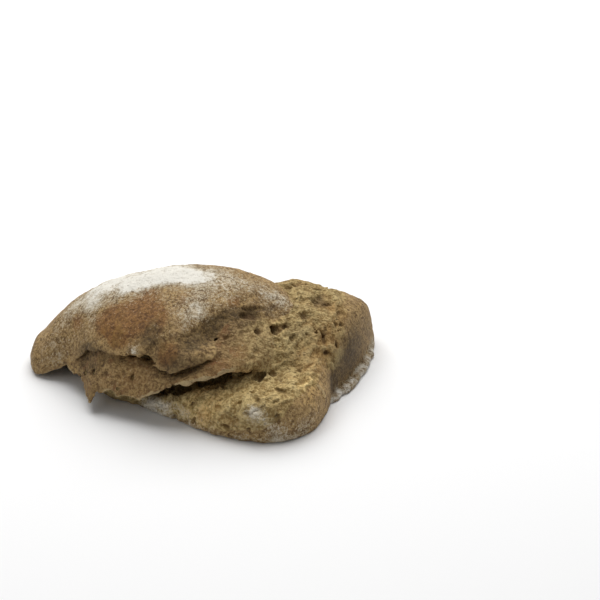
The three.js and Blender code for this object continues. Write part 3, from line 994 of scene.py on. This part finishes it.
class BreadFinish(Finish):
    """The bread's finish, with the masks and the textures that its colours share."""

    def __init__(self):
        super().__init__("baked_bread")
        self.crumb, self.skin, self.edge, self.relief = map(self.mask, ("crumb", "skin", "edge", "relief"))
        self.flour, self.toast, self.dull_and_shade = map(self.mask, ("flour", "toast", "dull_and_shade"))
        # The last two masks are painted shade and painted light.
        self.dark, self.bright = map(self.mask, ("dark", "bright"))
        self.broad = self.grain(14, 3)
        self.patchy = self.grain(4.5, 4, 0.6)
        self.coarse = self.grain(2.6, 3, 0.65)
        self.speck = self.grain(1.3, 3, 0.7)
        self.dust = self.grain(0.6, 2, 0.6)
        self.pits = (1 - self.cells(1.8).eased(0.12, 0.4)) * self.speck.eased(0.42, 0.56)
        mottled = (self.coarse - 0.5) * 0.9 + (self.speck - 0.5) * 1.2 + (self.dust - 0.5) * 0.8
        self.gritty = (mottled + 0.5).eased(0.2, 0.8)

    def crust(self):
        """Brown crust, with toasted patches, and greyed patches that are partly the crust's own tone and
        partly painted shade.
        """
        brown = self.blend(self.gritty, *BROWN_CRUST)
        brown = self.blend(self.patchy.eased(0.38, 0.66) * 0.45, brown, PALE_CRUST)
        toasted = self.blend(self.gritty, *TOASTED_CRUST)
        toasted = self.blend(self.patchy.eased(0.5, 0.68) * 0.5, toasted, GOLDEN_TOAST)
        toast_share = self.toast + (self.broad - 0.5) * 0.9 + (self.patchy - 0.5) * 1.3
        colour = self.blend(toast_share.eased(0.3, 0.8), brown, toasted)
        # Greyed patches: partly the crust's own tone, partly painted shade.
        dull_and_shade_share = self.dull_and_shade + (self.patchy - 0.5) * 1.0 + (self.broad - 0.5) * 0.6
        return self.blend(dull_and_shade_share.eased(0.15, 0.95) * 0.85, colour, self.blend(self.gritty, *DULL_AND_SHADED_CRUST))

    def open_crumb(self):
        """Olive and golden crumb, with painted highlight on its walls, painted shade in its hollows and
        pits, and greyed patches partly of painted shade.
        """
        crumbly = ((self.coarse - 0.5) * 1.5 + (self.speck - 0.5) * 0.9 + 0.5).eased(0.25, 0.75)
        golden_share = self.toast + (self.broad - 0.5) * 1.6 + (self.patchy - 0.5)
        olive, golden = self.blend(crumbly, *OLIVE_CRUMB), self.blend(crumbly, *GOLDEN_CRUMB)
        colour = self.blend(golden_share.eased(-0.1, 0.6), olive, golden)
        # Greyed patches: partly the crumb's own tone, partly painted shade.
        dull_and_shade_share = (self.dull_and_shade + (self.patchy - 0.5) * 0.4).eased(0.2, 0.9)
        colour = self.blend(dull_and_shade_share * 0.8, colour, self.blend(self.gritty, *DULL_AND_SHADED_CRUST))
        # Painted highlight on the crumb's ridges.
        ridge_highlight = (self.relief + (self.speck - 0.5) * 1.2).eased(0.2, 1.5)
        colour = self.blend(ridge_highlight * 0.5, colour, CRUMB_RIDGE_HIGHLIGHT)
        # Painted shade in the crumb's hollows and pits.
        valley_shade = (self.relief * -1 + (self.speck - 0.5) * 1.2).eased(0.0, 1.6)
        return self.blend((valley_shade + self.pits * 0.6).clamped() * 0.72, colour, CRUMB_HOLLOW_SHADE)

    def torn_skin(self):
        """The brown inner side of the torn skin, with tan and rusty patches, and painted shade in its
        hollows and pits.
        """
        colour = self.blend(self.gritty, *SKIN_BROWN)
        colour = self.blend((self.broad - 0.5).eased(-0.05, 0.12) * 0.5, colour, SKIN_TAN)
        colour = self.blend(self.patchy.eased(0.54, 0.68) * 0.5, colour, SKIN_RUST)
        # Painted shade in the skin's hollows and pits.
        hollow_shade = (self.relief * -1).eased(0.1, 1.4) + self.pits * 0.5
        return self.blend(hollow_shade.clamped() * 0.6, colour, SKIN_HOLLOW_SHADE)

    def powder(self):
        """How thickly flour lies: a thin veil with separate grains in it."""
        drift = (self.broad - 0.5) * 1.1 + (self.patchy - 0.5) * 1.5
        veil = (self.flour * 1.3 + drift * 0.9 + (self.speck - 0.5) * 1.4).eased(0.25, 1.35) * 0.85
        # Flour thins over toast, greyed patches, painted shade and open crumb.
        bare = self.toast * 0.1 + self.dull_and_shade * 0.2 + self.dark * 0.5 + self.crumb * 0.3
        salted = self.flour * 1.3 - bare + drift * 0.5 + 0.03
        grains = (salted + (self.speck - 0.5) * 2.8 + (self.dust - 0.5) * 3.4).eased(0.6, 1.0) * 0.85
        return (1 - (1 - veil) * (1 - grains)) * (1 - self.crumb * 0.3)

    def floured(self, colour, powder):
        """The colour under its flour."""
        thick = (self.flour + (self.patchy - 0.5) * 0.8 + (self.speck - 0.5) * 0.8).eased(0.5, 1.0)
        return self.blend(powder * 0.95, colour, self.blend(thick, *FLOUR_WHITE))

    def grained_normal(self, powder):
        """The finest grain of crust and crumb, too small to sculpt."""
        crumb_height = self.coarse * 1.2 + self.speck * 0.8 - self.pits
        height = self.patchy * 0.6 + self.speck * 0.9 + self.dust * 0.5 + powder * 0.2
        height = height + self.crumb * crumb_height
        sockets = {"Height": height, "Distance": BUMP_HEIGHT * MM, "Strength": 1.0}
        return self.node("ShaderNodeBump", None, sockets).outputs[0]


def baked_bread():
    """Floured crust, torn skin and porous crumb in one material, by the roll's masks, with painted shade
    and painted light in its colour.
    """
    bread = BreadFinish()
    torn = bread.blend(bread.skin, bread.open_crumb(), bread.torn_skin())
    is_torn = (bread.crumb + (bread.patchy - 0.5) * 0.4).eased(0.3, 0.6)
    powder = bread.powder()
    colour = bread.floured(bread.blend(is_torn, bread.crust(), torn), powder)
    # Thin edges are paler: partly their own colour, partly a painted highlight.
    edge_and_highlight_share = (bread.edge + (bread.speck - 0.5) * 1.2).eased(0.4, 0.9)
    colour = bread.blend(edge_and_highlight_share * 0.6, colour, PALE_EDGE_AND_HIGHLIGHT)
    # Painted shade: deep shade mixed in where the painted shade mask lies.
    colour = bread.blend(bread.dark * 0.75, colour, DEEP_SHADE)
    # Painted light: the colour is made lighter where the painted light mask lies.
    painted_light_scale = {"Vector": colour, "Scale": 1 + bread.bright * 0.55}
    colour = bread.node("ShaderNodeVectorMath", {"operation": "SCALE"}, painted_light_scale).outputs[0]
    bread.feed(bread.shader.inputs["Base Color"], colour)
    bread.feed(bread.shader.inputs["Roughness"], 0.7 + 0.15 * bread.crumb + 0.1 * powder)
    bread.feed(bread.shader.inputs["Normal"], bread.grained_normal(powder))
    bread.feed(bread.shader.inputs["Specular IOR Level"], 0.3)
    return bread.material


def pale_table():
    """A plain, matt, nearly white tabletop."""
    table = Finish("pale_table")
    table.feed(table.shader.inputs["Base Color"], (0.9, 0.9, 0.9))
    table.feed(table.shader.inputs["Roughness"], 0.8)
    table.feed(table.shader.inputs["Specular IOR Level"], 0.2)
    return table.material


# ------------------------------------------------------------------ the scene

TABLE_HALF = 3.0
LAMPS_LOOK_AT = (0, 0, 0.02)
# Each lamp: its place, how wide it is, and its power.
OVERHEAD_WINDOW = ((0.0, 0.48, 0.95), 1.3, 17.5)
FILL_LEFT = ((-0.9, -0.6, 0.9), 0.9, 1.5)
STUDIO_GLOW = 0.2

# The camera: what it looks at in the sculpt, how steeply, from how far off, and its lens.
CAMERA_AIM = (46.6, 40.0, 25.0)
CAMERA_ANGLE = math.radians(28)
CAMERA_DISTANCE = 0.80
CAMERA_LENS = 100


def add(name, data):
    """A new object in the scene."""
    made = bpy.data.objects.new(name, data)
    bpy.context.scene.collection.objects.link(made)
    return made


def turned(thing, looks):
    """Points a lamp or the camera the way it looks, its top up."""
    thing.rotation_mode = "QUATERNION"
    thing.rotation_quaternion = looks.to_track_quat("-Z", "Y")


def bread_roll():
    """The roll, riding on its body in place of its CAD node, and its shift from the sculpt."""
    mesh, shift = roll_mesh()
    mesh.materials.append(baked_bread())
    roll = add("torn_bread_roll", mesh)
    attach(roll, "root")
    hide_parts(NODE)
    return shift


def table_top():
    """A wide plain table under the roll."""
    mesh = bpy.data.meshes.new("table_top")
    corners = [(x * TABLE_HALF, y * TABLE_HALF, 0) for x, y in ((-1, -1), (1, -1), (1, 1), (-1, 1))]
    mesh.from_pydata(corners, [], [(0, 1, 2, 3)])
    mesh.materials.append(pale_table())
    table = add("table_top", mesh)


def lit_from(name, place, size, watts):
    """A soft square lamp that looks at the middle of the roll."""
    lamp = bpy.data.lights.new(name, "AREA")
    lamp.size = size
    lamp.energy = watts
    stand = add(name, lamp)
    stand.location = place
    turned(stand, Vector(LAMPS_LOOK_AT) - Vector(place))


def studio():
    """A large lamp overhead, a small one that fills in from the left, and a faint glow all round."""
    lit_from("overhead_window", *OVERHEAD_WINDOW)
    lit_from("fill_left", *FILL_LEFT)
    world = bpy.data.worlds.new("studio")
    world.use_nodes = True
    glow = world.node_tree.nodes["Background"]
    glow.inputs["Color"].default_value = (1, 1, 1, 1)
    glow.inputs["Strength"].default_value = STUDIO_GLOW
    bpy.context.scene.world = world
    bpy.context.scene.view_settings.view_transform = "Standard"


def camera_from_the_front(shift):
    """A camera that looks down on the torn front."""
    camera = add("camera", bpy.data.cameras.new("camera"))
    camera.data.lens = CAMERA_LENS
    looks = Vector((0, math.cos(CAMERA_ANGLE), -math.sin(CAMERA_ANGLE)))
    aim = Vector((CAMERA_AIM[0] + shift[0], CAMERA_AIM[1] + shift[1], CAMERA_AIM[2])) * MM
    camera.location = aim - looks * CAMERA_DISTANCE
    turned(camera, looks)
    bpy.context.scene.camera = camera


sculpt_shift = bread_roll()
table_top()
studio()
camera_from_the_front(sculpt_shift)
